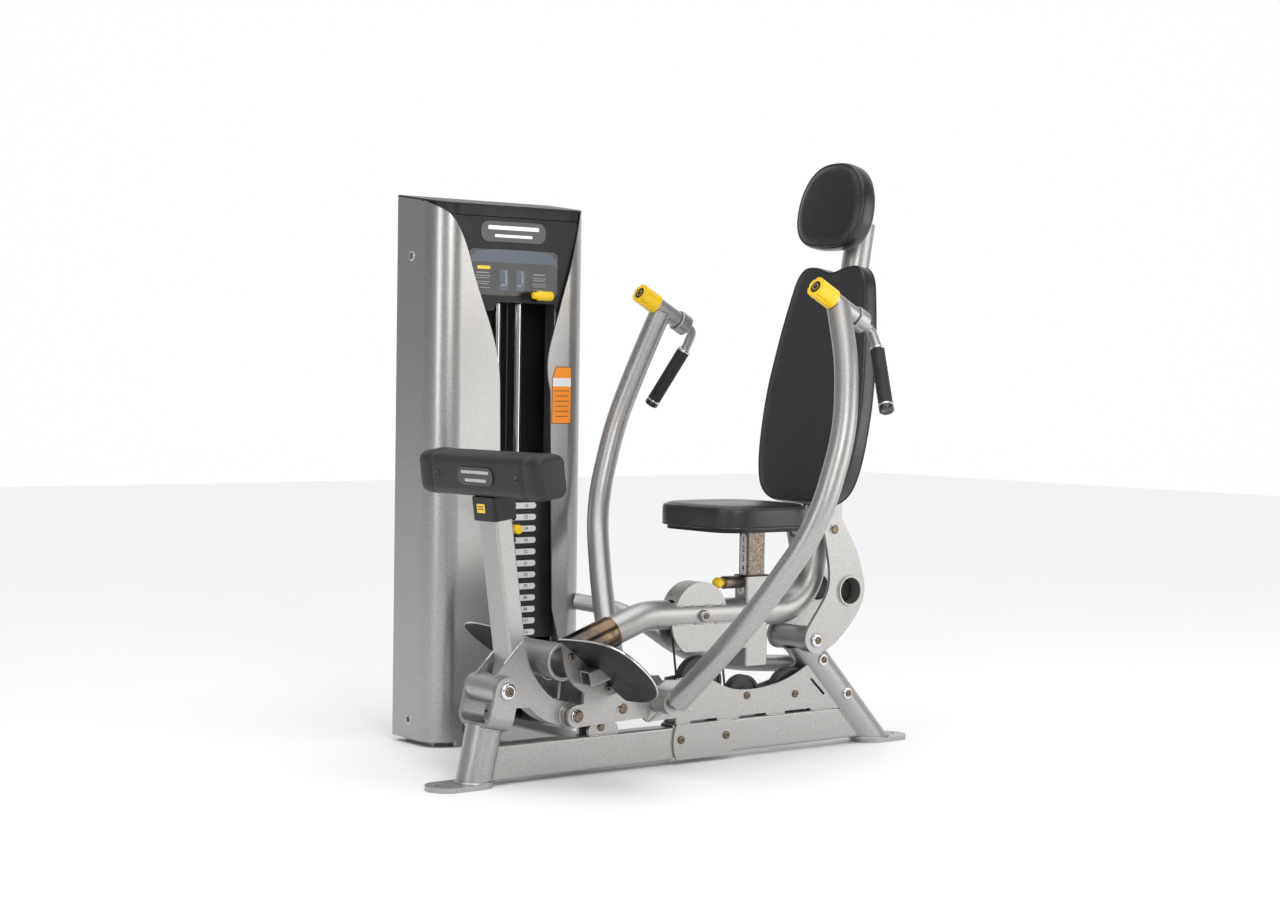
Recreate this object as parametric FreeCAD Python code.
import FreeCAD, Part
import os
from math import sin, cos, tan, radians, degrees, atan2, sqrt, pi
from FreeCAD import Vector as V

# Selectorised chest press machine with a rocking seat carriage.
# Millimetres. +Z up, +X from the front foot to the rear foot (the user sits
# facing -X), +Y from the base rail to the weight tower.  The design frame
# below has its origin under the front leg; OFF moves it to the centre of the
# machine's bounding box on the floor.

OFF = V(-699.0, -111.95, 0.0)       # design frame -> part frame

# ------------------------------------------------------------------ driving
RAIL_W, RAIL_Z0, RAIL_Z1 = 50.8, 12.0, 98.0     # base rail section
RAIL_WALL = 3.0
LEG_R = 44.45                      # front leg tube, 3.5 in
TRUN_R = 34.0                      # rear trunnion tube
YOKE_Y, YOKE_T = 70.0, 10.0        # outer half width and plate of the yoke
T1 = V(94, 0, 235)                 # front lever pivot
T2 = V(1088, 0, 302)               # rear rocker lower pivot
CC = V(1145, 0, 597)               # rear rocker upper pivot (carriage)
BB = V(312, 0, 157)                # lever boss (front support of carriage)
AA = V(572, 0, 180)                # press arm pivot
EE = V(440, 0, 206)                # drag link upper pin, on the arms
FF = V(410, 0, 118)                # drag link lower pin, on the rail
SPINE_R = 38.1                     # carriage spine tube, 3 in
ARM_R, ARM_WALL = 30.0, 3.0        # press arm tube
PLATE_PITCH, PLATE_T = 31.75, 31.4 # weight plates
STACK_X, STACK_Y0, STACK_D, STACK_W = 530.0, 545.0, 122.0, 280.0
STACK_Z0 = 277.0                   # underside of the lowest plate
N_REST, N_LIFT = 9, 3              # plates below / at and above the pin
ROD_R = 12.5
TWR_X0, TWR_X1 = 257.0, 760.0      # tower width
TWR_Y0, TWR_Y1 = 512.0, 718.0      # tower depth
TWR_Z0, TWR_ZF, TWR_ZB = 14.0, 1456.0, 1484.0
SHELL = 4.0                        # shroud wall
RUN = 0.05                         # running clearance on pivots

os.makedirs("parts", exist_ok=True)

# ------------------------------------------------------------------ helpers
def cyl(p, d, r, h):
    "cylinder from p along d"
    return Part.makeCylinder(r, h, p, d)

def ycyl(x, z, r, y0, y1):
    return Part.makeCylinder(r, y1 - y0, V(x, y0, z), V(0, 1, 0))

def box(x0, x1, y0, y1, z0, z1):
    return Part.makeBox(x1 - x0, y1 - y0, z1 - z0, V(x0, y0, z0))

def fuse(*s):
    s = [a for a in s]
    r = s[0]
    if len(s) > 1:
        r = r.multiFuse(s[1:])
    return r.removeSplitter()

def cut(a, *b):
    for t in b:
        a = a.cut(t)
    return a

def arcs_of(pts, radii):
    "straight runs joined by tangent arcs; returns edges"
    edges = []
    last = pts[0]
    for i in range(1, len(pts) - 1):
        a, b, c = pts[i - 1], pts[i], pts[i + 1]
        u = V(a.x - b.x, a.y - b.y, a.z - b.z)
        w = V(c.x - b.x, c.y - b.y, c.z - b.z)
        la, lc = u.Length, w.Length
        u.normalize(); w.normalize()
        ang = pi - u.getAngle(w)                 # turn
        r = radii[i - 1] if isinstance(radii, (list, tuple)) else radii
        if r is None:
            r = 0.45 * min(la, lc) / tan(ang / 2)
        t = r * tan(ang / 2)
        s = b + u * t
        e = b + w * t
        bis = (u + w).normalize()
        ctr = b + bis * (r / cos(ang / 2))
        mid = ctr - bis * r
        if (s - last).Length > 1e-4:
            edges.append(Part.LineSegment(last, s).toShape())
        edges.append(Part.Arc(s, mid, e).toShape())
        last = e
    if (pts[-1] - last).Length > 1e-4:
        edges.append(Part.LineSegment(last, pts[-1]).toShape())
    return edges

def sweep(pts, r, radii=None):
    if len(pts) == 2:
        d = pts[1] - pts[0]
        return cyl(pts[0], d, r, d.Length)
    ed = arcs_of(pts, radii)
    w = Part.Wire(ed)
    d = pts[1] - pts[0]
    prof = Part.Wire([Part.makeCircle(r, pts[0], d)])
    return w.makePipeShell([prof], True, False)

def tube(pts, ro, ri, radii=None):
    return sweep(pts, ro, radii).cut(sweep(pts, ri, radii))

def poly_xz(pts, y0, y1):
    "prism of an XZ polygon between y0 and y1; a point may be ('a', mid, end)"
    ed = []
    first = V(pts[0][0], y0, pts[0][1])
    last = first
    for p in pts[1:]:
        if p[0] == 'a':
            m = V(p[1][0], y0, p[1][1]); e = V(p[2][0], y0, p[2][1])
            ed.append(Part.Arc(last, m, e).toShape()); last = e
        else:
            e = V(p[0], y0, p[1])
            ed.append(Part.LineSegment(last, e).toShape()); last = e
    if (last - first).Length > 1e-6:
        ed.append(Part.LineSegment(last, first).toShape())
    return Part.Face(Part.Wire(ed)).extrude(V(0, y1 - y0, 0))

def spline_xz(pts, y0, y1, straight_tail=()):
    "prism whose outline is a spline through pts closed by straight edges"
    c = Part.BSplineCurve(); c.interpolate([V(a, y0, b) for a, b in pts])
    ed = [c.toShape()]
    last = V(pts[-1][0], y0, pts[-1][1])
    for a, b in list(straight_tail) + [pts[0]]:
        e = V(a, y0, b)
        ed.append(Part.LineSegment(last, e).toShape()); last = e
    return Part.Face(Part.Wire(ed)).extrude(V(0, y1 - y0, 0))

def fillet(s, r, pick):
    ed = [e for e in s.Edges if pick(e)]
    if not ed:
        return s
    try:
        f = s.makeFillet(r, ed)
        return f if f.isValid() else s
    except Exception:
        return s

def along(e, axis, tol=1e-3):
    if len(e.Vertexes) < 2 or e.Curve.TypeId != 'Part::GeomLine':
        return False
    d = e.Vertexes[1].Point - e.Vertexes[0].Point
    d.normalize()
    return abs(abs(d.dot(axis)) - 1) < tol

def rbox(x0, x1, y0, y1, z0, z1, r, axis):
    s = box(x0, x1, y0, y1, z0, z1)
    return fillet(s, r, lambda e: along(e, axis))

def rect_tube(x0, x1, y0, y1, z0, z1, axis, wall, r=6.0):
    o = rbox(x0, x1, y0, y1, z0, z1, r, axis)
    g = {0: 0, 1: 0, 2: 0}
    a = V(wall, wall, wall)
    if axis.x: a.x = -1
    if axis.y: a.y = -1
    if axis.z: a.z = -1
    i = rbox(x0 + a.x, x1 - a.x, y0 + a.y, y1 - a.y, z0 + a.z, z1 - a.z,
             max(r - wall, 1.0), axis)
    return o.cut(i)

def rot(s, c, axis, deg):
    s = s.copy(); s.rotate(c, axis, deg); return s

def mirror_y(s):
    return s.mirror(V(0, 0, 0), V(0, 1, 0))

def button_bolt(x, z, y, out, r=8.5, h=5.5, shank=6.0, washer=True):
    "domed socket head at y, head pointing to out (+1/-1)"
    o = V(0, out, 0)
    head = cyl(V(x, y, z), o, r, h)
    head = fillet(head, min(h * 0.75, r * 0.5), lambda e: e.Closed and abs(e.CenterOfMass.y - (y + out * h)) < 1e-3)
    hexw = Part.makePolygon([V(x + r * 0.42 * cos(radians(60 * k)), y + out * (h + 0.01), z + r * 0.42 * sin(radians(60 * k))) for k in range(7)])
    sock = Part.Face(hexw).extrude(o * (-h * 0.65))
    s = head.cut(sock)
    return s

NODES = {}
def node(name, shape):
    NODES[name] = shape

Y_ = V(0, 1, 0); X_ = V(1, 0, 0); Z_ = V(0, 0, 1)

# =================================================================== BASE
lean = atan2(T1.x - 42.0, T1.z)
leg_dir = V(sin(lean), 0, cos(lean))
yoke_low = 96.0                                  # pivot to underside of yoke
# oblong foot plate with its floor bolt hole at the outer end
foot_t = 12.0
def oblong(xc, L, W, t, hole_x, r_hole):
    a = fuse(box(xc - L / 2 + W / 2, xc + L / 2 - W / 2, -W / 2, W / 2, 0, t),
             cyl(V(xc - L / 2 + W / 2, 0, 0), Z_, W / 2, t),
             cyl(V(xc + L / 2 - W / 2, 0, 0), Z_, W / 2, t))
    a = a.cut(cyl(V(hole_x, 0, -1), Z_, r_hole, t + 2))
    return a
FOOT_HOLE_R = 7.0
ffoot = oblong(2, 176, 104, foot_t, -58, FOOT_HOLE_R)
leg = cyl(V(42, 0, 0) - leg_dir * 20, leg_dir, LEG_R, 20 + T1.z / cos(lean) - yoke_low + 4)
leg_in = cyl(V(42, 0, 0) - leg_dir * 20, leg_dir, LEG_R - 4, 20 + T1.z / cos(lean) - yoke_low + 30)
leg = leg.cut(box(-200, 300, -100, 100, -60, 0.0))
leg_in = leg_in.cut(box(-200, 300, -100, 100, -60, foot_t))
# bent yoke plate, built upright about the pivot then leaned
def yoke(yo, t, low, half, rb):
    def U(y, lo, r):
        p = box(-half, half, -y, y, lo, 60)
        return fillet(p, r, lambda e: along(e, X_) and abs(e.CenterOfMass.z - lo) < 1e-3)
    u = U(yo, -low, rb).cut(U(yo - t, -low + t, rb - t))
    keep = fuse(box(-half, half, -100, 100, -low, 0), ycyl(0, 0, half, -100, 100))
    return u.common(keep)
yk = yoke(YOKE_Y, YOKE_T, yoke_low, 34.0, 34.0)
yk = yk.cut(ycyl(0, 0, 10.0 + RUN, -90, 90))
yk = rot(yk, V(0, 0, 0), Y_, degrees(lean)); yk.translate(T1)
front_stand = fuse(ffoot, leg, yk)
front_stand = front_stand.cut(leg_in.common(leg_in).cut(yk).cut(ffoot))
node("front_stand", front_stand)

# front rail tube, coped to the leg, with the two drag-link ears on its top
RX_SEAM = 642.0
BPF = (744.0, 205.0, 70.0)         # base pulleys: X, Z, radius
BPM = (892.0, 162.0, 53.0)
BPR = (1062.0, 154.0, 71.0)
rail = rect_tube(30, RX_SEAM, -RAIL_W / 2, RAIL_W / 2, RAIL_Z0, RAIL_Z1, X_, RAIL_WALL)
leg_solid = cyl(V(42, 0, 0) - leg_dir * 40, leg_dir, LEG_R, 240)
rail = rail.cut(leg_solid)
rail = max(rail.Solids, key=lambda s: s.Volume)
ears = []
for s in (-1, 1):
    e = poly_xz([(372, RAIL_Z1), (464, RAIL_Z1), (464, 112), ('a', (455, 126), (440, 132)), (398, 132), ('a', (380, 126), (372, 112))], 15.4 if s > 0 else -25.4, 25.4 if s > 0 else -15.4)
    ears.append(e.cut(ycyl(FF.x, FF.z, 6.0 + RUN, -40, 40)))
node("rail_front", fuse(rail, *ears))

# rear rail tube, with the two splice side plates that clasp the front rail
rrail = rect_tube(RX_SEAM + 0.6, 1300, -RAIL_W / 2, RAIL_W / 2, RAIL_Z0 + 6, RAIL_Z1 + 6, X_, RAIL_WALL)
leg2_dir = V(T2.x - 1366, 0, T2.z - 6); leg2_dir.normalize()
leg2_solid = cyl(V(1366, 0, 6) - leg2_dir * 60, leg2_dir, LEG_R, 600)
rrail = rrail.cut(leg2_solid)
# the rear pulley dips into the rail through a slot in its top wall
rrail = rrail.cut(rbox(BPR[0] - 62, BPR[0] + 62, -17, 17, 90, 120, 8, Z_))
rrail = max(rrail.Solids, key=lambda s: s.Volume)
spl = []
for s in (-1, 1):
    y0, y1 = (RAIL_W / 2, RAIL_W / 2 + 5) if s > 0 else (-RAIL_W / 2 - 5, -RAIL_W / 2)
    p = poly_xz([(652, 12), (838, 12), (838, 104), (652, 104), ('a', (641, 58), (652, 12))], y0, y1)
    spl.append(p)
node("rail_rear", fuse(rrail, *spl))

# pulley side plates standing on the rear rail
ptop = [(652, 222), (700, 226), (744, 222), (775, 210), (805, 196), (850, 182), (905, 178), (960, 181), (1018, 193), (1068, 211), (1104, 229)]
pl = []
for s in (-1, 1):
    y0, y1 = (19.4, 25.4) if s > 0 else (-25.4, -19.4)
    zb = RAIL_Z1 + 6
    p = spline_xz(ptop, y0, y1, [(1122, 222), (1226, zb), (652, zb)])
    for a, b in ((700, 790), (866, 960), (1026, 1120)):
        p = p.cut(rbox(a, b, -40, 40, zb - 2, zb + 7, 2.5, Y_))
    p = p.cut(leg2_solid)
    # slanted slot beside the rear leg
    sl = rbox(-34, 34, -40, 40, -3.5, 3.5, 3, Y_)
    sl = rot(sl, V(0, 0, 0), Y_, 43.0); sl.translate(V(1143, 0, 168))
    p = p.cut(sl)
    for x, z, r in (BPF, BPM, BPR):
        p = p.cut(ycyl(x, z, 6.0, -40, 40))
    pl.append(max(p.Solids, key=lambda q: q.Volume))
node("pulley_plates", Part.makeCompound(pl))

# rear stand: foot plate, raked leg and the trunnion that carries the rocker
rfoot = oblong(1396, 176, 104, foot_t, 1452, FOOT_HOLE_R)
leg2 = cyl(V(1366, 0, 6) - leg2_dir * 60, leg2_dir, LEG_R, 60 + (T2 - V(1366, 0, 6)).Length)
leg2 = leg2.cut(box(900, 1600, -100, 100, -100, 0))
leg2i = cyl(V(1366, 0, 6) - leg2_dir * 60, leg2_dir, LEG_R - 4, 60 + (T2 - V(1366, 0, 6)).Length)
leg2i = leg2i.cut(box(900, 1600, -100, 100, -100, foot_t))
trun = ycyl(T2.x, T2.z, TRUN_R, -66, 66)
rs = fuse(rfoot, leg2, trun)
rs = rs.cut(leg2i.cut(ycyl(T2.x, T2.z, TRUN_R - 0.1, -80, 80)).cut(rfoot)).cut(ycyl(T2.x, T2.z, 10.0 + RUN, -90, 90))
node("rear_stand", rs)

# low cross frame from the rail to the tower base
cf = rect_tube(352, 428, RAIL_W / 2, 560, 40, 90, Y_, 3.0)
node("cross_frame", cf)

# bent brace from the rear leg round to the tower base
bp = [V(1168, 22, 224), V(1020, 176, 219), V(930, 284, 240), V(820, 410, 352), V(735, 530, 372)]
brace = tube([V(*p) for p in bp], 23.0, 20.0, None).cut(leg2_solid)
brace = max(brace.Solids, key=lambda s: s.Volume)
brace_clear = sweep([V(*p) for p in bp[-3:]], 24.5, None)
node("side_brace", brace)

# ================================================================== TOWER
def plan(off, y_back):
    "half-round fronted tower outline, offset inward by off, as wire at z=0"
    x0, x1, y0, y1 = TWR_X0 + off, TWR_X1 - off, TWR_Y0 + off, y_back
    rx = 74.0 - off
    e = [Part.LineSegment(V(x0, y1, 0), V(x0, y0 + rx, 0)).toShape(),
         Part.Arc(V(x0, y0 + rx, 0), V(x0 + rx * (1 - cos(pi / 4)), y0 + rx * (1 - sin(pi / 4)), 0), V(x0 + rx, y0, 0)).toShape(),
         Part.LineSegment(V(x0 + rx, y0, 0), V(x1 - rx, y0, 0)).toShape(),
         Part.Arc(V(x1 - rx, y0, 0), V(x1 - rx * (1 - cos(pi / 4)), y0 + rx * (1 - sin(pi / 4)), 0), V(x1, y0 + rx, 0)).toShape(),
         Part.LineSegment(V(x1, y0 + rx, 0), V(x1, y1, 0)).toShape(),
         Part.LineSegment(V(x1, y1, 0), V(x0, y1, 0)).toShape()]
    return Part.Face(Part.Wire(e))
def prism(face, z0, z1):
    f = face.copy(); f.translate(V(0, 0, z0)); return f.extrude(V(0, 0, z1 - z0))
# the top is cut on a slope that rises to the back
slope = atan2(TWR_ZB - TWR_ZF, TWR_Y1 - TWR_Y0)
def half_above(dz):
    "everything above the sloping top, lowered by dz"
    p = Part.makePolygon([V(-200, TWR_Y0 - 1000, TWR_ZF - dz - 1000 * tan(slope)), V(-200, TWR_Y0 + 1000, TWR_ZF - dz + 1000 * tan(slope)), V(-200, TWR_Y0 + 1000, 3000), V(-200, TWR_Y0 - 1000, 3000), V(-200, TWR_Y0 - 1000, TWR_ZF - dz - 1000 * tan(slope))])
    return Part.Face(p).extrude(V(2000, 0, 0))
shell = prism(plan(0, TWR_Y1), TWR_Z0, 1600).cut(prism(plan(SHELL, TWR_Y1 + 10), TWR_Z0 - 1, 1601))
CAP_H = 5.0
shell = shell.cut(half_above(CAP_H))
# front opening, wide at the top and narrow over the weight stack
lcut = [(262, 1500), (268, 1447), (292, 1430), (314, 1404), (331, 1374), (349, 1334), (366, 1281), (408, 1172), (438, 1090), (452, 1030), (458, 960)]
cL = Part.BSplineCurve(); cL.interpolate([V(a, 400, b) for a, b in lcut])
rcut = [(626, 960), (620, 1064), (641, 1140), (666, 1223), (690, 1300), (711, 1380), (728, 1440), (736, 1500)]
cR = Part.BSplineCurve(); cR.interpolate([V(a, 400, b) for a, b in rcut])
def seg(a, b): return Part.LineSegment(V(a[0], 400, a[1]), V(b[0], 400, b[1])).toShape()
low = [(458, 960), (468, 389), (470, -20), (694, -20), (661, 276), (640, 358), (626, 960)]
ed = [cL.toShape()]
for i in range(len(low) - 1):
    ed.append(seg(low[i], low[i + 1]))
ed.append(cR.toShape()); ed.append(seg((736, 1500), (262, 1500)))
opening = Part.Face(Part.Wire(ed)).extrude(V(0, 200, 0))
shell_o = shell.cut(opening)
half = 508.0
left_s = shell_o.common(box(0, half, 300, 800, 0, 1600))
right_s = shell_o.common(box(half, 1000, 300, 800, 0, 1600))
left_s = max(left_s.Solids, key=lambda s: s.Volume)
right_s = max(right_s.Solids, key=lambda s: s.Volume)
# openings for the cross frame and for the bent brace
left_s = left_s.cut(box(350, 430, 500, 530, 30, 94))
right_s = max(right_s.cut(brace_clear).Solids, key=lambda s: s.Volume)
node("shroud_left", left_s)
node("shroud_right", right_s)
node("tower_back", box(TWR_X0 + SHELL, TWR_X1 - SHELL, TWR_Y1 - 4, TWR_Y1, TWR_Z0, 1478.3))
# moulded cap
cap = prism(plan(0, TWR_Y1), 1300, 1600).cut(half_above(0)).common(half_above(CAP_H))
# lip that hangs inside the shroud over the front opening
lip = prism(plan(SHELL + 0.5, 600), 1426, 1500).cut(prism(plan(SHELL + 6.5, 620), 1400, 1501)).cut(half_above(CAP_H - 0.5))
cap = fuse(cap, lip)
cap = fillet(cap, 3.0, lambda e: e.CenterOfMass.z > TWR_ZF - 1.0 and e.CenterOfMass.z > (TWR_ZF + (e.CenterOfMass.y - TWR_Y0) * tan(slope)) - 1.0)
node("tower_cap", cap)
# recessed dark fascia that fills the wide top of the opening
FY = 522.0
fas = spline_xz([(276, 1424), (300, 1400), (318, 1374), (336, 1334), (353, 1281), (395, 1172)], FY, FY + 4,
                [(440, 1172), (452, 1196), (640, 1196), (652, 1172), (662, 1172), (690, 1290), (716, 1424)])
fas = fas.cut(ycyl(577, 1216, 15.0, FY - 5, FY + 10)).common(prism(plan(SHELL + 0.5, TWR_Y1), 1100, 1500))
fas = max(fas.Solids, key=lambda s: s.Volume)
node("tower_fascia", fas)

# inner steel: base, uprights and head beam
tb = fuse(box(285, 735, 560, 700, 0, 40), box(330, 690, 520, 560, 0, 40))
tb = fillet(tb, 8.0, lambda e: along(e, Z_))
rise = [rect_tube(STACK_X - 150, STACK_X - 110, 570, 650, 40, STACK_Z0 - 52, Z_, 3.0, 5.0),
        rect_tube(STACK_X + 110, STACK_X + 150, 570, 650, 40, STACK_Z0 - 52, Z_, 3.0, 5.0)]
shelf = box(STACK_X - 150, STACK_X + 150, 556, 660, STACK_Z0 - 52, STACK_Z0 - 40)
tower_base = fuse(tb, *rise, shelf)
# upright carrying the head beam and taking the brace and the cross frame
up1 = rect_tube(700, 750, 600, 650, 40, 1400, Z_, 3.0, 5.0)
up2 = rect_tube(270, 320, 600, 650, 40, 1400, Z_, 3.0, 5.0)
head = rect_tube(270, 750, 600, 650, 1400, 1440, X_, 3.0, 5.0)
strut = rect_tube(700, 750, 530, 600, 345, 400, Y_, 3.0, 5.0).common(prism(plan(SHELL + 0.5, TWR_Y1), 300, 450))
tabs = []
for z in (200, 720, 1240):              # pads that carry the shroud screws
    tabs += [box(750, 756, 608, 642, z, z + 40), box(261, 270, 608, 642, z, z + 40)]
frame = fuse(tower_base, up1, up2, head, strut, *tabs)
RY = STACK_Y0 + STACK_D / 2 - 18          # guide rod line
rods_x = (STACK_X - 35.0, STACK_X + 35.0)
top_bar = box(STACK_X - 60, STACK_X + 60, RY - 16, 600, 1404, 1420)
frame = fuse(frame, top_bar)
brace_sock = sweep([V(*bp[-2]), V(*bp[-1])], 23.0)
frame = frame.cut(brace_sock)
for x in rods_x:
    frame = frame.cut(cyl(V(x, RY, STACK_Z0 - 46), Z_, ROD_R + 0.05, 7)).cut(cyl(V(x, RY, 1400), Z_, ROD_R + 0.05, 11))
rods = [cyl(V(x, RY, STACK_Z0 - 45.98), Z_, ROD_R, 1410.98 - STACK_Z0 + 45.98) for x in rods_x]
node("guide_rods", Part.makeCompound(rods))

# weight plates
def plate(zb, hdr=False):
    x0, x1 = STACK_X - STACK_W / 2, STACK_X + STACK_W / 2
    p = box(x0, x1, STACK_Y0, STACK_Y0 + STACK_D, zb, zb + PLATE_T)
    p = fillet(p, 6.0, lambda e: along(e, Z_))
    for x in rods_x:
        p = p.cut(cyl(V(x, RY, zb - 1), Z_, ROD_R + 0.09, PLATE_T + 2))
    p = p.cut(cyl(V(STACK_X, RY, zb - 1), Z_, 11.0 + 0.09, PLATE_T + 2))
    p = p.cut(ycyl(STACK_X, zb + PLATE_T / 2, 4.8, STACK_Y0 - 1, RY + 17))
    return p
rest = [plate(STACK_Z0 + i * PLATE_PITCH) for i in range(N_REST)]
node("resting_plates", Part.makeCompound(rest))
lift0 = STACK_Z0 + N_REST * PLATE_PITCH
lifted = [plate(lift0 + i * PLATE_PITCH) for i in range(N_LIFT)]
node("lifted_plates", Part.makeCompound(lifted))
hz = lift0 + N_LIFT * PLATE_PITCH
header = plate(hz)
sel_r = 11.0
sel_z0 = STACK_Z0 - 30
header = header.cut(cyl(V(STACK_X, RY, hz - 2), Z_, 11.2, 3 + PLATE_T + 2))
selector = cyl(V(STACK_X, RY, sel_z0), Z_, sel_r, hz + PLATE_T + 34 - sel_z0)
for i in range(N_REST + N_LIFT):
    selector = selector.cut(ycyl(STACK_X, STACK_Z0 + i * PLATE_PITCH + PLATE_T / 2, 4.8, RY - 20, RY + 20))
collar = cyl(V(STACK_X, RY, hz + PLATE_T), Z_, 19.0, 10.0)
header = fuse(header, selector.common(box(0, 2000, 0, 2000, hz - 0.5, 2000)), collar,
              cyl(V(STACK_X, RY, hz), Z_, 11.6, PLATE_T))
header = header.fuse(selector).removeSplitter()
node("stack_header", header)
PIN_I = N_REST
pz = STACK_Z0 + PIN_I * PLATE_PITCH + PLATE_T / 2
pin = fuse(ycyl(STACK_X, pz, 4.75, STACK_Y0 - 6, RY + 15), ycyl(STACK_X, pz, 13.0, STACK_Y0 - 30, STACK_Y0 - 6))
pin = fillet(pin, 4.0, lambda e: e.Closed and abs(e.CenterOfMass.y - (STACK_Y0 - 30)) < 1e-3)
node("selector_pin", pin)
bum = [cyl(V(x, RY, STACK_Z0 - 40), Z_, 22.0, 39.6).cut(cyl(V(x, RY, STACK_Z0 - 41), Z_, ROD_R + 0.3, 42)) for x in rods_x]
node("stack_bumpers", Part.makeCompound(bum))
# top pulley with its clevis on the head beam, and the two cable runs
TPX, TPZ, TPR = STACK_X, 1346.0, 50.0
def pulley(x, y, z, r, w, bore, groove=6.0):
    p = ycyl(x, z, r, y - w / 2, y + w / 2)
    p = fillet(p, 2.0, lambda e: e.Closed and abs(e.Curve.Radius - r) < 1e-3)
    g = Part.makeTorus(r + 1.0, groove, V(x, y, z), Y_)
    p = p.cut(g).cut(ycyl(x, z, bore + RUN, y - w, y + w))
    for s in (-1, 1):
        ring = ycyl(x, z, r - 9, y + s * w / 2 - 4, y + s * w / 2 + 4).cut(ycyl(x, z, r * 0.42, y - w, y + w))
        p = p.cut(ring)
    return p
# the top pulley turns about X so that its cable drops on the stack centre
tp = pulley(0, 0, 0, TPR, 26, 6.0)
TPY = RY + TPR - 5.0 + 3.2                # cable falls on the stack centre
tp = rot(tp, V(0, 0, 0), Z_, 90); tp.translate(V(TPX, TPY, TPZ))
node("tower_pulley", tp)
tcl = []
for s in (-1, 1):
    tcl.append(box(TPX + s * 17 - 2.5, TPX + s * 17 + 2.5, TPY - 20, TPY + 20, TPZ - 22, 1400))
axle = cyl(V(TPX - 24, TPY, TPZ), X_, 6.0, 48)
clv = [c.cut(axle) for c in tcl]
node("tower_frame", Part.makeCompound([frame] + clv + [axle]))
node("stack_cable", cyl(V(STACK_X, RY, hz + PLATE_T + 34), Z_, 3.0, TPZ - (hz + PLATE_T + 34)))

# add-on weight dial knob on the fascia
kn = ycyl(577, 1216, 12.0, FY - 30, FY + 26)
kn = fuse(ycyl(577, 1216, 14.4, FY - 26, FY - 1.0), ycyl(577, 1216, 9.0, FY - 4, FY + 26))
kn = fillet(kn, 3.0, lambda e: e.Closed and abs(e.CenterOfMass.y - (FY - 26)) < 1e-3)
kn = kn
node("addon_knob", kn)

# ============================================================ FRONT LEVER
LH = YOKE_Y - YOKE_T - 1.0                       # half length of pivot tube
hub = ycyl(T1.x, T1.z, 36.5, -LH, LH)
# rectangular post leaning forward
pl_a = atan2(46.0, 323.0)                        # post lean
post = rbox(-25.4, 25.4, -38.1, 38.1, 0, 430, 7, Z_)
post_in = rbox(-21.4, 21.4, -34.1, 34.1, 40, 441, 4, Z_)
def place_post(s):
    s = rot(s, V(0, 0, 0), Y_, -degrees(pl_a)); s.translate(V(152, 0, 280)); return s
post, post_in = place_post(post), place_post(post_in)
gus = []
for s in (-1, 1):
    y0, y1 = (38.1, 46.1) if s > 0 else (-46.1, -38.1)
    gus.append(poly_xz([(154, 347), (74, 268), (62, 250), (62, 226), (84, 200), (120, 190), (222, 186), ('a', (185, 248), (163, 343))], y0, y1))
# curved arm from the post foot down to the boss
arm = poly_xz([(166, 372), (173, 343), ('a', (196, 274), (245, 213)), ('a', (278, 193), (316, 184)),
               (316, 130), (270, 136), ('a', (222, 158), (180, 196)), (130, 230), (110, 262), (130, 330)], -25.4, 25.4)
boss = ycyl(BB.x, BB.z, 30.0, -43, 43)
lever = fuse(hub, post, arm, boss, *gus)
lever = lever.cut(post_in.cut(arm).cut(hub))
lever = lever.cut(ycyl(T1.x, T1.z, 10.0 + RUN, -90, 90))
lever = lever.cut(ycyl(BB.x, BB.z, 10.0, -90, 90))
# arm is a welded box section: hollow its core
core = poly_xz([(200, 262), ('a', (222, 226), (262, 200)), (272, 196), (276, 148), ('a', (238, 162), (206, 188)), (180, 220)], -20.4, 20.4)
lever = lever.cut(core)
node("front_lever", lever)
lp = ycyl(BB.x, BB.z, 10.0, -60, 60)
lpn = [lp] 
caps = []
for s in (-1, 1):
    c = ycyl(BB.x, BB.z, 15.0, 60, 66) if s > 0 else ycyl(BB.x, BB.z, 15.0, -66, -60)
    c = fillet(c, 4.0, lambda e: e.Closed and abs(abs(e.CenterOfMass.y) - 66) < 1e-3)
    caps.append(c)
node("lever_pin", fuse(lp, *caps))

# counterweight and its dark bracket cover, square to the post
def on_post(s):
    s = rot(s, V(0, 0, 0), Y_, -degrees(pl_a)); s.translate(V(152, 0, 280)); return s
cwz = 430.0
cw = box(-44, 44, -260, 260, cwz, cwz + 108)
cw = fillet(cw, 22.0, lambda e: along(e, Y_))
cw = fillet(cw, 9.0, lambda e: abs(abs(e.CenterOfMass.y) - 260) < 1.0)
node("counterweight", on_post(cw))
cov = rbox(-33, 33, -48, 48, cwz - 58, cwz, 8, Z_).cut(rbox(-25.4, 25.4, -38.1, 38.1, cwz - 60, cwz + 1, 7, Z_))
node("lever_cover", on_post(cov))

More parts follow.
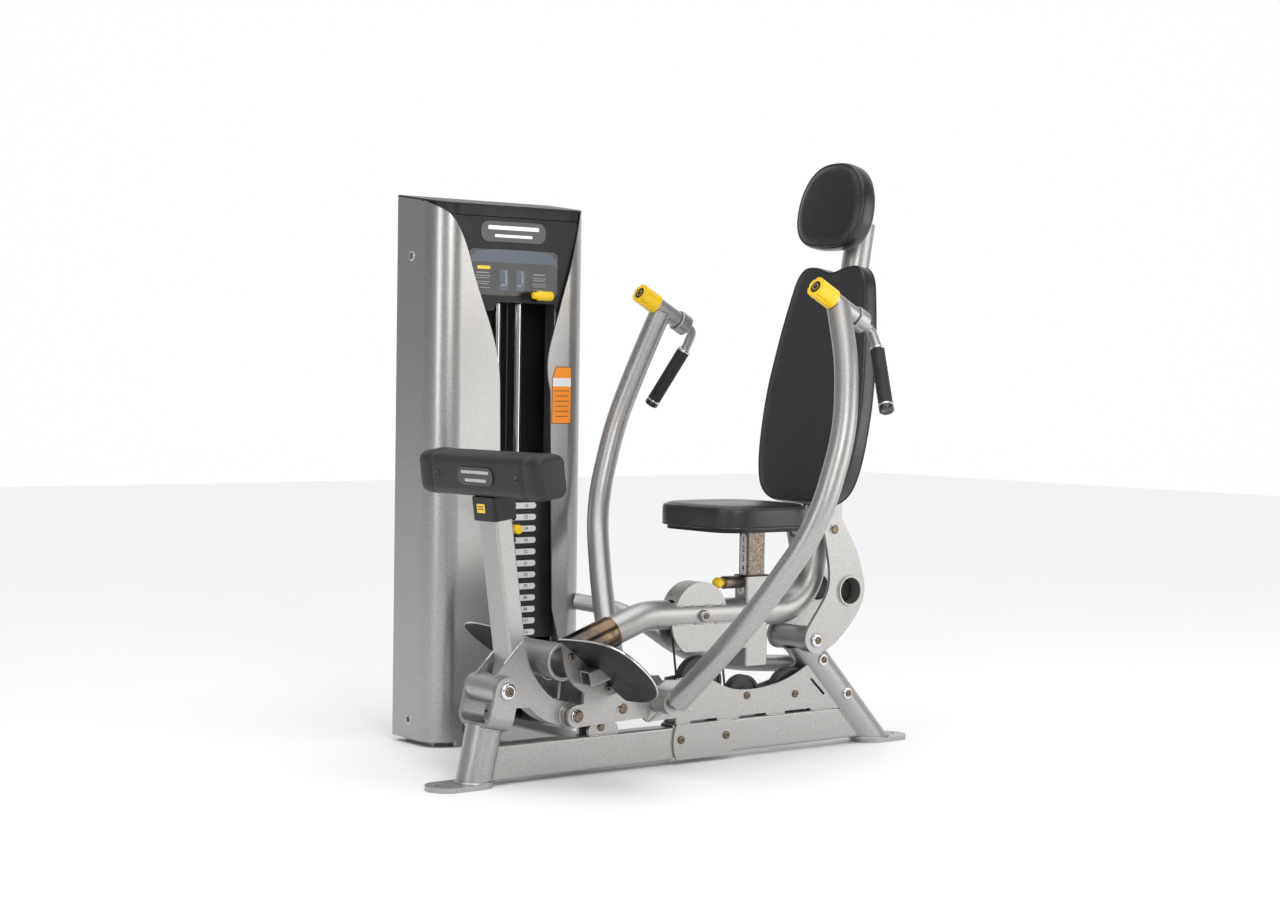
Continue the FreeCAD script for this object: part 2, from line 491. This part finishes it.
# ================================================================= ROCKER
rk = []
for s in (-1, 1):
    y0, y1 = (68.0, 78.0) if s > 0 else (-78.0, -68.0)
    out = [(1098, 268), (1142, 282), (1189, 317), (1226, 355), (1253, 396), (1262, 432), (1253, 479), (1236, 528), (1206, 578), (1178, 622)]
    inn = [(1110, 602), (1123, 545), (1133, 491), (1130, 439), (1106, 396), (1056, 330)]
    c1 = Part.BSplineCurve(); c1.interpolate([V(a, y0, b) for a, b in out])
    c2 = Part.BSplineCurve(); c2.interpolate([V(a, y0, b) for a, b in inn])
    top = Part.Arc(V(1178, y0, 622), V(1144, y0, 634), V(1110, y0, 602)).toShape()
    bot = Part.Arc(V(1056, y0, 330), V(1062, y0, 277), V(1098, y0, 268)).toShape()
    w = Part.Wire([c1.toShape(), top, c2.toShape(), bot])
    p = Part.Face(w).extrude(V(0, y1 - y0, 0))
    rk.append(p)
RT = V(1205, 0, 430)
rkn = []
for p, (a, b) in zip(rk, ((-84.0, -46.0), (46.0, 84.0))):
    q = fuse(p, ycyl(RT.x, RT.z, 40.5, a, b))
    q = q.cut(ycyl(RT.x, RT.z, 36.0, -90, 90)).cut(ycyl(T2.x, T2.z, 10.0, -90, 90)).cut(ycyl(CC.x, CC.z, 10.0, -90, 90))
    rkn.append(q)
node("rocker_plate_left", rkn[0])
node("rocker_plate_right", rkn[1])
def cap_pin(P, half, r=10.0, rw=17.0, hw=7.0, sleeve=None):
    s = ycyl(P.x, P.z, r, -half, half)
    a = ycyl(P.x, P.z, rw, half, half + hw); b = ycyl(P.x, P.z, rw, -half - hw, -half)
    f = lambda sh: fillet(sh, hw * 0.55, lambda e: e.Closed and abs(abs(e.CenterOfMass.y) - (half + hw)) < 1e-3)
    return fuse(s, f(a), f(b))
node("rocker_pins", Part.makeCompound([cap_pin(T2, 78.0), cap_pin(CC, 78.0, 10.0, 12.0, 6.0)]))
yoke_pin = cap_pin(T1, 70.0, 10.0, 20.0, 8.0)

# =============================================================== CARRIAGE
# spine tube: foot hub -> under the seat -> up behind the back pad
sp = [V(250, 0, 280), V(560, 0, 388), V(1115, 0, 379), V(1300, 0, 1428)]
spine_r = [150.0, 128.0]
HUB = V(243, 0, 300); HUB_R = 44.0
hub_solid = ycyl(HUB.x, HUB.z, HUB_R, -92, 92)
spine_solid = sweep(sp, SPINE_R, spine_r)
spine = tube(sp, SPINE_R, SPINE_R - 3.5, spine_r)
RCV = (885.0, 961.0, 25.4)
HX, HZ, HR = 728.0, 383.0, 79.0                  # big pulley set into the spine
spine = spine.cut(hub_solid)
spine = spine.cut(box(RCV[0], RCV[1], -RCV[2], RCV[2], 200, 700))
spine = spine.cut(box(HX - HR - 14, HX + HR + 14, -20, 20, 300, 460))
spine = spine.cut(ycyl(HX, HZ, 8.0, -60, 60))
trun_c = ycyl(CC.x, CC.z, 31.0, -64, 64)
spine = spine.cut(trun_c)
bits = sorted(spine.Solids, key=lambda q: -q.Volume)
spine_bits = [b for b in bits if b.Volume > 5000]
foot_hub = hub_solid.cut(ycyl(HUB.x, HUB.z, HUB_R - 5, -93, 93))
SL = sp[1] - sp[0]; SL.normalize()
s0 = sp[0] + SL * 52
sleeve_solid = cyl(s0, SL, SPINE_R + 4.0, 168)
sleeve = sleeve_solid.cut(cyl(s0 - SL, SL, SPINE_R, 180))
sleeve = sleeve.cut(hub_solid)
sleeve = max(sleeve.Solids, key=lambda q: q.Volume)
node("spine_sleeve", sleeve)
# trunnion at the top pivot with its gusset plates up the spine
gz = []
for s_ in (-1, 1):
    y0, y1 = (38.2, 46.2) if s_ > 0 else (-46.2, -38.2)
    gz.append(poly_xz([(1136, 572), (1176, 585), (1200, 620), (1206, 690), (1180, 700), (1146, 690)], y0, y1))
tr = fuse(trun_c, *gz)
tr = tr.cut(ycyl(CC.x, CC.z, 10.0 + RUN, -90, 90))
node("spine", Part.makeCompound(spine_bits + [tr]))
# pulley housing: half-round bulge over the spine and flat cheeks under it
bul = ycyl(HX, HZ, HR + 8, -30, 30).common(box(500, 1000, -60, 60, HZ + 2, 700))
bulge = bul.cut(ycyl(HX, HZ, HR + 3, -25, 25)).cut(spine_solid)
bulge = max(bulge.Solids, key=lambda q: q.Volume)
chk = []
for s_ in (-1, 1):
    y0, y1 = (24.0, 30.0) if s_ > 0 else (-30.0, -24.0)
    c = poly_xz([(632, 376), (632, 352), ('a', (648, 316), (676, 290)), (884.9, 290), (884.9, 376)], y0, y1)
    c = c.cut(spine_solid)
    chk.append(min(c.Solids, key=lambda q: q.BoundBox.ZMin))
node("pulley_housing", Part.makeCompound([bulge] + chk))
node("carriage_pulley", pulley(HX, 0, HZ, HR, 30, 8.0, 5.0))
axl = fuse(ycyl(HX, HZ, 8.0, -44, 44), ycyl(HX, HZ, 13.0, -50, -34), ycyl(HX, HZ, 13.0, 34, 50))
axl = axl.cut(spine_solid.cut(ycyl(HX, HZ, 8.0, -44, 44)))
axl = fuse(ycyl(HX, HZ, 8.0, -44, 44), *[q for q in axl.Solids if abs(q.BoundBox.YMin) > 30 and abs(q.BoundBox.YMax) > 30])
# seat receiver: square tube through the spine, with its number window and
# the thick sleeve on its front that holds the release plunger
LZ = 462.0
rcv = rect_tube(RCV[0], RCV[1], -RCV[2], RCV[2], 240, 476, Z_, 5.5, 6.0)
lat = cyl(V(824, 0, LZ), X_, 16.0, 61).cut(cyl(V(800, 0, LZ), X_, 8.0 + RUN, 100))
rcv = fuse(rcv, lat).cut(cyl(V(870, 0, LZ), X_, 8.0 + RUN, 21))
node("seat_receiver", rcv)
BALL_X, BALL_R = 806.0, 15.0
bx = BALL_X + sqrt(BALL_R ** 2 - 64.0)
prof = [Part.Arc(V(BALL_X - BALL_R, 0, LZ), V(BALL_X, 0, LZ + BALL_R), V(bx, 0, LZ + 8.0)).toShape(),
        Part.LineSegment(V(bx, 0, LZ + 8.0), V(890, 0, LZ + 8.0)).toShape(),
        Part.LineSegment(V(890, 0, LZ + 8.0), V(890, 0, LZ)).toShape(),
        Part.LineSegment(V(890, 0, LZ), V(BALL_X - BALL_R, 0, LZ)).toShape()]
lat_pin = Part.Face(Part.Wire(prof)).revolve(V(0, 0, LZ), X_, 360)
if lat_pin.Volume < 0:
    lat_pin.reverse()
lat_pin = Part.makeSolid(Part.Shell(lat_pin.Faces)) if not lat_pin.Solids else lat_pin.Solids[0]
node("seat_latch", lat_pin)
# seat post, plate and pad
PX0, PX1, PYH = 893.5, 952.5, 19.5
SEAT_Z = 602.0
post2 = rect_tube(PX0, PX1, -PYH, PYH, SEAT_Z - 256, SEAT_Z - 6, Z_, 4.0, 4.0)
for k in range(5):
    post2 = post2.cut(cyl(V(PX0 - 2, 0, LZ + 25.4 * k), X_, 6.5, 8))
node("seat_post", post2)
flange = rbox(820, 1000, -70, 70, SEAT_Z - 6, SEAT_Z, 20, Z_)
board = rbox(716, 1002, -146, 146, SEAT_Z, SEAT_Z + 10, 66, Z_)
node("seat_plate", fuse(flange, board))
def pad_plan(z0, z1):
    x0, x1, h = 696.0, 1018.0, 171.0
    pts = [V(x0, 0, z0), V(x0 + 6, 88, z0), V(x0 + 40, 147, z0), V(x0 + 106, h, z0), V(x0 + 200, h - 1, z0), V(x1 - 60, h - 13, z0), V(x1 - 16, h - 50, z0), V(x1 - 3, 76, z0), V(x1, 0, z0)]
    pts += [V(p.x, -p.y, p.z) for p in reversed(pts[1:-1])]
    c = Part.BSplineCurve(); c.interpolate(Points=pts, PeriodicFlag=True)
    return Part.Face(Part.Wire([c.toShape()])).extrude(V(0, 0, z1 - z0))
node("seat_pad", pad_plan(SEAT_Z + 10, SEAT_Z + 72))
# back pad: narrow-shouldered cushion leaning with the spine
lean_b = atan2(185.0, 1049.0)
def pad_prism(half, t0, t1, base):
    "closed outline from (height, half width) pairs, thickness t0..t1 along X"
    pts = [V(t0, y, z) for z, y in half] + [V(t0, -y, z) for z, y in reversed(half) if y > 1e-6]
    c = Part.BSplineCurve(); c.interpolate(Points=pts, PeriodicFlag=True)
    f = Part.Face(Part.Wire([c.toShape()])).extrude(V(t1 - t0, 0, 0))
    f = rot(f, V(0, 0, 0), Y_, degrees(lean_b)); f.translate(base)
    return f
BB0 = V(1098, 0, 664)
back_half = [(0, 0), (1, 60), (8, 118), (34, 156), (90, 181), (200, 193), (300, 192), (400, 180), (500, 163), (580, 145), (628, 127), (648, 104), (651, 74), (646, 44), (638, 18), (636, 0)]
node("back_pad", pad_prism(back_half, -27, 26, BB0))
board_half = [(40, 0), (41, 60), (52, 110), (90, 140), (200, 160), (300, 158), (400, 148), (500, 130), (570, 110), (600, 80), (604, 0)]
bb = pad_prism(board_half, 26, 36, BB0)
def on_back(s):
    s = rot(s, V(0, 0, 0), Y_, degrees(lean_b)); s.translate(BB0); return s
upper = sweep([sp[2] + (sp[3] - sp[2]) * 0.12, sp[3] + (sp[3] - sp[2]) * 0.05], SPINE_R)
st = [on_back(rbox(36, 78, -28, 28, z, z + 50, 6, X_)) for z in (90, 500)]
bb = fuse(bb, *st).cut(upper)
bb = max(bb.Solids, key=lambda q: q.Volume)
HH0 = V(1181, 0, 1352)
head_half = [(0, 0), (3, 52), (16, 92), (46, 119), (90, 130), (140, 126), (185, 108), (218, 78), (234, 44), (239, 0)]
node("head_pad", pad_prism(head_half, -33, 30, HH0))
def on_head(s):
    s = rot(s, V(0, 0, 0), Y_, degrees(lean_b)); s.translate(HH0); return s
hb = fuse(on_head(rbox(30, 38, -70, 70, 40, 180, 20, X_)), on_head(rbox(38, 120, -20, 20, 20, 78, 6, X_)))
hb = hb.cut(upper)
hb = max(hb.Solids, key=lambda q: q.Volume)
node("pad_brackets", Part.makeCompound([bb, hb]))

# foot rests: round-cornered treads on bracket plates and struts
TAU = 38.0
TH = V(222, 0, 360)
def tread(side):
    o = [(92, 2), (200, -10), (290, -8), (334, 14), (348, 66), (330, 145), (285, 205), (220, 246), (150, 266), (92, 270)]
    c = Part.BSplineCurve(); c.interpolate([V(s, y, 0) for y, s in o])
    w = Part.Wire([c.toShape(), Part.LineSegment(V(270, 92, 0), V(2, 92, 0)).toShape()])
    p = Part.Face(w).extrude(V(0, 0, 8))
    if side < 0:
        p = mirror_y(p)
    p = rot(p, V(0, 0, 0), Y_, TAU); p.translate(TH + V(0, 0, -4))
    return p
node("treads", Part.makeCompound([tread(-1), tread(1)]))
under = rot(box(-400, 400, -400, 400, 0, 600), V(0, 0, 0), Y_, TAU); under.translate(TH + V(0, 0, -4))
dpl, stub = [], []
for s_ in (-1, 1):
    y0, y1 = (92.0, 100.0) if s_ > 0 else (-100.0, -92.0)
    d = poly_xz([(231, 352), (235, 312), ('a', (262, 250), (330, 214)), (380, 208), (404, 214)], y0, y1).cut(under)
    w = box(306, 336, 100 if s_ > 0 else -104, 104 if s_ > 0 else -100, 248, 276).cut(under)
    dpl.append(fuse(d, w))
    b = rbox(-10, 120, -20, 20, -19, 19, 4, X_)
    b = b.cut(rbox(-11, 121, -16, 16, -15, 15, 2, X_))
    b = rot(b, V(0, 0, 0), Y_, -13.0); b.translate(V(296, 124.0 * s_, 262))
    b = b.cut(under)
    stub.append(max(b.Solids, key=lambda q: q.Volume))
node("foot_hub", Part.makeCompound([foot_hub] + dpl + stub))

# link plates: front support of the carriage
lk = []
for s_ in (-1, 1):
    y0, y1 = (46.0, 56.0) if s_ > 0 else (-56.0, -46.0)
    p = poly_xz([(322, 129), (521, 136), (536, 124), (640, 128), ('a', (662, 142), (670, 168)), (664, 208), (650, 224), (590, 226), (572, 214), (545, 205), (500, 206), (478, 222),
                 (462, 300), (420, 300), (340, 268), (332, 186), (316, 184), ('a', (285, 156), (322, 129))], y0, y1)
    p = p.cut(ycyl(BB.x, BB.z, 13.0, -90, 90)).cut(ycyl(AA.x, AA.z, 15.0 + RUN, -90, 90)).cut(ycyl(453, 165, 8.0, -90, 90))
    lk.append(p)
# a saddle web ties the plates to the spine just behind the hub
web = box(352, 440, -46, 46, 262, 274)
link = fuse(lk[0], lk[1], web)
link = link.cut(sleeve_solid)
link = max(link.Solids, key=lambda q: q.Volume)
node("link_plates", link)
# a short bolt and nut through each plate
sp_b = []
for s_ in (-1, 1):
    hd = ycyl(453, 165, 13.0, 56, 62) if s_ > 0 else ycyl(453, 165, 13.0, -62, -56)
    hd = fillet(hd, 4.0, lambda e: e.Closed and abs(abs(e.CenterOfMass.y) - 62) < 1e-3)
    sp_b.append(fuse(ycyl(453, 165, 8.0, 38, 58) if s_ > 0 else ycyl(453, 165, 8.0, -58, -38), hd,
                     ycyl(453, 165, 13.0, 40, 46) if s_ > 0 else ycyl(453, 165, 13.0, -46, -40)))

# ============================================================= PRESS ARMS
ARM_PTS = [(888, 357, 1186), (862, 420, 1045), (816, 468, 870), (744, 455, 640), (655, 300, 388), (577, 118, 178)]
HA = V(0.883, 0, -0.469); HA.normalize()
HP = V(866, 357, 1200)                           # knob end of the handle tube
arms = []
for s_ in (-1, 1):
    pts = [V(x, y * s_, z) for x, y, z in ARM_PTS]
    a = sweep(pts, ARM_R)
    ai = sweep(pts, ARM_R - ARM_WALL)
    h0 = V(HP.x, HP.y * s_, HP.z)
    ct = cyl(h0, HA, 23.5, 84)
    col = ycyl(AA.x, AA.z, 34.0, 57.5, 118) if s_ > 0 else ycyl(AA.x, AA.z, 34.0, -118, -57.5)
    u = V(648, 238 * s_, 330); t = V(534, 60 * s_, 126); l1 = V(604, 130 * s_, 190)
    n_ = (t - u).cross(l1 - u); n_.normalize()
    fin = Part.Face(Part.makePolygon([u, t, l1, u])); fin.translate(n_ * -4.0)
    fin = fin.extrude(n_ * 8.0)
    core = ai.cut(ct).cut(col)
    arm_s = fuse(a, ct, col, fin)
    arm_s = arm_s.cut(core)
    arm_s = arm_s.cut(cyl(h0 - HA, HA, 8.0 + RUN, 60)).cut(ycyl(AA.x, AA.z, 15.0, -130, 130))
    arm_s = arm_s.cut(cyl(h0 + HA * 54, HA, 13.0 + RUN, 40))   # handle journal
    arm_s = arm_s.cut(cyl(h0 - HA * 80, HA, 28.5, 79.6))       # room for the knob
    arm_s = max(arm_s.Solids, key=lambda q: q.Volume)
    arms.append(arm_s)
node("press_arm_left", arms[0])
node("press_arm_right", arms[1])
shaft = fuse(ycyl(AA.x, AA.z, 15.0, -122, 122), ycyl(AA.x, AA.z, 24.0, -45, 45))
lug = []
for s_ in (-1, 1):
    y0, y1 = (10.0, 18.0) if s_ > 0 else (-18.0, -10.0)
    lug.append(poly_xz([(AA.x, AA.z - 22), (EE.x, EE.z - 16), ('a', (EE.x - 16, EE.z), (EE.x, EE.z + 16)), (AA.x, AA.z + 22)], y0, y1))
shaft = fuse(shaft, ycyl(EE.x, EE.z, 8.0, -18, 18), *lug)
node("arm_shaft", shaft)
dl = EE - FF
dla = atan2(dl.x, dl.z)
dlink = fuse(ycyl(0, 0, 15.0, -9, 9), box(-11, 11, -9, 9, 0, dl.Length), ycyl(0, dl.Length, 15.0, -9, 9))
dlink = fuse(dlink, ycyl(0, 0, 12.0, -15.2, 15.2))
dlink = dlink.cut(ycyl(0, 0, 6.0 + RUN, -30, 30)).cut(ycyl(0, dl.Length, 10.5, -30, 30))
dlink = rot(dlink, V(0, 0, 0), Y_, degrees(dla)); dlink.translate(FF)
node("drag_link", dlink)
ear_pin = cap_pin(FF, 25.4, 6.0, 10.0, 5.0)

# handles: collar, bent rod and grip; yellow lobed release knob
GD = V(-48, 89, -157); GD.normalize()
for s_, tag in ((-1, "left"), (1, "right")):
    h0 = V(HP.x, HP.y * s_, HP.z)
    c0 = h0 + HA * 86.0
    collar = cyl(c0, HA, 29.5, 36)
    collar = fillet(collar, 3.0, lambda e: e.Closed and abs(e.Curve.Radius - 29.5) < 1e-3)
    g0 = V(996, 387 * s_, 1079)
    gd = V(GD.x, GD.y * s_, GD.z)
    rod = sweep([c0 + HA * 20.0, h0 + HA * 152.0, g0 - gd * 8.0, g0 + gd * 40], 12.5, [22.0, 22.0])
    rod = fuse(rod, cyl(g0 + gd * 38, gd, 12.5, 140))
    node("handle_" + tag, fuse(collar, rod, cyl(h0 + HA * 56, HA, 13.0, 32)))
    g = cyl(g0, gd, 19.0, 188).cut(cyl(g0 - gd, gd, 12.5, 179))
    node("grip_" + tag, g)
    kf = h0 - HA * 1.0
    k = cyl(kf - HA * 62, HA, 27.0, 62)
    for j in range(6):
        a_ = radians(60 * j)
        e1 = V(0, 1, 0); e2 = HA.cross(e1)
        o = e1 * (31.5 * cos(a_)) + e2 * (31.5 * sin(a_))
        k = k.cut(cyl(kf - HA * 70 + o, HA, 7.0, 52))
    stem = cyl(kf - HA * 2, HA, 8.0, 40)
    node("knob_" + tag, fuse(k, stem))

# ============================================================ BASE PULLEYS
node("base_pulley_front", pulley(BPF[0], 0, BPF[1], BPF[2], 28, 6.0, 5.0))
node("base_pulley_mid", pulley(BPM[0], 0, BPM[1], BPM[2], 28, 6.0, 5.0))
node("base_pulley_rear", pulley(BPR[0], 0, BPR[1], BPR[2], 28, 6.0, 5.0))
# lift cable: the two falls from the carriage pulley to the base pulleys, each
# a straight run tangent to both grooves
CAB_R = 3.0
def tangent(c1, r1, c2, r2, side1, side2):
    "common tangent of two circles in XZ; side +1 = the +X side of the circle"
    dx, dz = c2[0] - c1[0], c2[1] - c1[1]
    L = sqrt(dx * dx + dz * dz)
    # unit normal n with n.(c2-c1) = side1*r1 - side2*r2
    k = (side1 * r1 - side2 * r2) / L
    ux, uz = dx / L, dz / L
    h = sqrt(1 - k * k)
    best = None
    for sg in (-1, 1):
        nx, nz = ux * k - sg * uz * h, uz * k + sg * ux * h
        if nx > 0:
            best = (nx, nz)
    nx, nz = best
    return (V(c1[0] + side1 * r1 * nx, 0, c1[1] + side1 * r1 * nz), V(c2[0] + side2 * r2 * nx, 0, c2[1] + side2 * r2 * nz))
gr = lambda r: r + 1.0 - 5.0 + CAB_R + 0.4
cab = []
for sd, tgt, sd2 in ((-1, BPF, -1), (1, BPM, -1)):
    a, b = tangent((HX, HZ), gr(HR), (tgt[0], tgt[1]), gr(tgt[2]), sd, sd2)
    cab.append(cyl(b, a - b, CAB_R, (a - b).Length))
node("lift_cable", Part.makeCompound(cab))

# ============================================================== FASTENERS
fb = []
for s_ in (-1, 1):
    yo = RAIL_W / 2 + 5
    for x in (666, 818):
        fb.append(button_bolt(x, 64, s_ * yo, s_, 10.0, 5.0))
    # cap bolts through the rear leg, seated on its round wall
    for t in ((0.47, 0.80) if s_ < 0 else (0.47,)):
        c = V(1366, 0, 6) + (T2 - V(1366, 0, 6)) * t
        fb.append(button_bolt(c.x, c.z, s_ * 41.0, s_, 11.0, 9.0).cut(leg2_solid))
axs = [ycyl(BPF[0], BPF[1], 6.0, -25.4, 25.4)]
for q in (BPM, BPR):
    axs.append(fuse(ycyl(q[0], q[1], 6.0, -25.4, 25.4), button_bolt(q[0], q[1], -25.4, -1, 9.5, 5.0), button_bolt(q[0], q[1], 25.4, 1, 9.5, 5.0)))
node("frame_bolts", Part.makeCompound(fb + axs + [yoke_pin, ear_pin]))
cb = []
for s_ in (-1, 1):
    for x, z in ((260, 313), (372, 228)):
        cb.append(button_bolt(x, z, s_ * 100.0, s_, 8.5, 5.0))
cb += sp_b + [axl]
node("carriage_bolts", Part.makeCompound(cb))

# ================================================================== WRITE
tot = []
for n, s in NODES.items():
    s = s.copy(); s.translate(OFF)
    tot.append(s)
    if not s.isValid():
        print("INVALID", n)
    s.exportStep("parts/%s.step" % n)
b = Part.makeCompound(tot).BoundBox
print("nodes", len(NODES), "box", [round(v, 1) for v in (b.XMin, b.XMax, b.YMin, b.YMax, b.ZMin, b.ZMax)])
